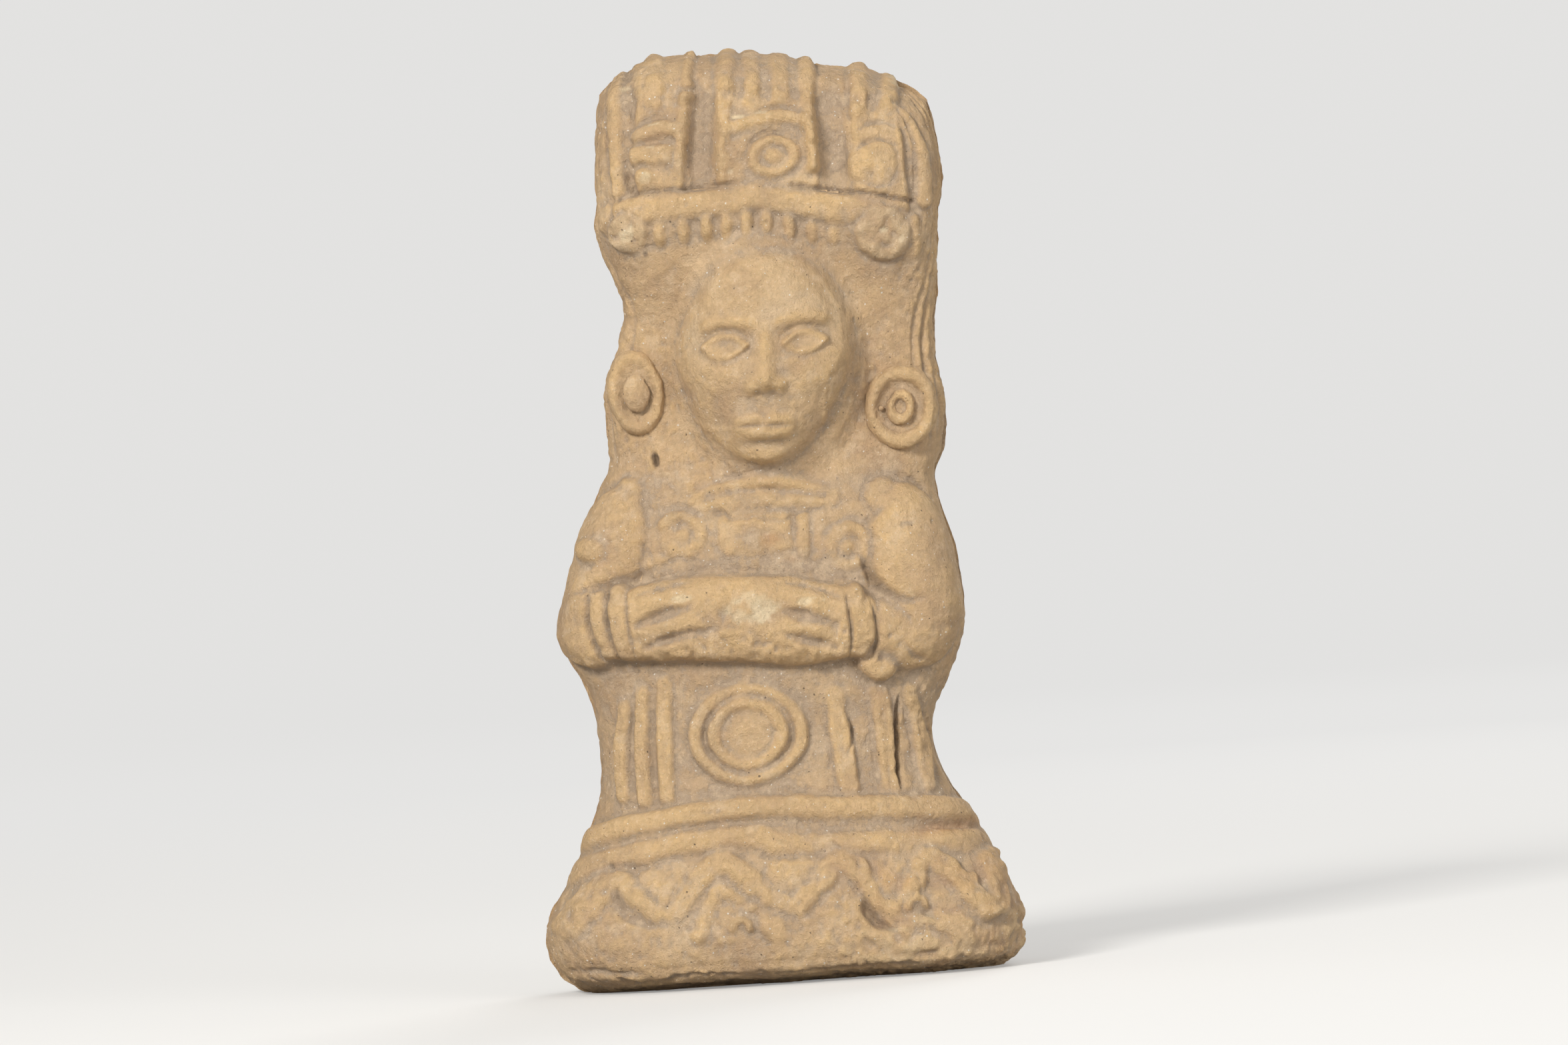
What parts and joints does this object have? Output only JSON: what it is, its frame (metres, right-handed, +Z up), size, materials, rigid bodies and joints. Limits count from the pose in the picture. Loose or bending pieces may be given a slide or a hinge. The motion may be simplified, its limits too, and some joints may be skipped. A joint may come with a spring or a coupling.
{
  "type": "pottery figure",
  "caption": "Hollow buff pottery figure standing on a flared foot, with a tall ribbed headdress, a calm face, ear flares, folded hands and a banded skirt with a zigzag hem",
  "frame": {"origin": "centre of the flat underside of the base plate, on the surface that the figure stands on", "axes": "+Z up the figure, the face looks along -Y, +X to the viewer's right"},
  "size_m": [0.0914, 0.0476, 0.1802],
  "materials": {
    "buff_clay": "matte unglazed buff clay with grey dust in its hollows",
    "plain_clay": "matte unglazed clay, smoothed by hand, darker below",
    "relief_clay": "matte unglazed buff clay, worn pale on its high places",
    "face_clay": "matte unglazed buff clay, smoothed and worn",
    "dusty_clay": "matte clay with a flaking pale crust"
  },
  "bodies": {
    "root": {"arm_left": "buff_clay", "arm_right": "buff_clay", "back_shell": "plain_clay", "base_plate": "plain_clay", "bracelet_left_1": "relief_clay", "bracelet_left_2": "relief_clay", "bracelet_right_1": "relief_clay", "brow_band": "relief_clay", "brow_tab_1": "relief_clay", "brow_tab_2": "relief_clay", "brow_tab_3": "relief_clay", "brow_tab_4": "relief_clay", "brow_tab_5": "relief_clay", "brow_tab_6": "relief_clay", "brow_tab_7": "relief_clay", "brow_tab_8": "relief_clay", "brow_tab_9": "relief_clay", "chest_bead_left": "relief_clay", "chest_bead_right": "relief_clay", "chest_ring_left": "relief_clay", "chest_ring_right": "relief_clay", "collar": "relief_clay", "ear_boss_left": "relief_clay", "ear_boss_right": "relief_clay", "ear_flare_left": "relief_clay", "ear_flare_right": "relief_clay", "ear_pellet_right": "dusty_clay", "elbow_knob": "relief_clay", "face": "face_clay", "front_shell": "buff_clay", "hand_left": "relief_clay", "hand_right": "relief_clay", "headdress_block": "relief_clay", "headdress_column_centre": "relief_clay", "headdress_column_left": "relief_clay", "headdress_column_right": "relief_clay", "headdress_crossbar": "relief_clay", "headdress_dome": "relief_clay", "headdress_edge_left": "buff_clay", "headdress_edge_right": "buff_clay", "headdress_knob": "relief_clay", "headdress_ring": "relief_clay", "hem_curl_1": "relief_clay", "hem_curl_2": "relief_clay", "hem_leaf": "relief_clay", "hem_zigzag": "relief_clay", "pectoral": "relief_clay", "pectoral_bar": "relief_clay", "rosette_left": "dusty_clay", "rosette_right": "dusty_clay", "skirt_band_lower": "buff_clay", "skirt_band_upper": "relief_clay", "skirt_disc": "relief_clay", "skirt_ring": "relief_clay", "skirt_strip_left_1": "relief_clay", "skirt_strip_left_2": "relief_clay", "skirt_strip_left_3": "relief_clay", "skirt_strip_right_1": "relief_clay", "skirt_strip_right_2": "relief_clay", "skirt_strip_right_3": "relief_clay"}
  },
  "joints": []
}
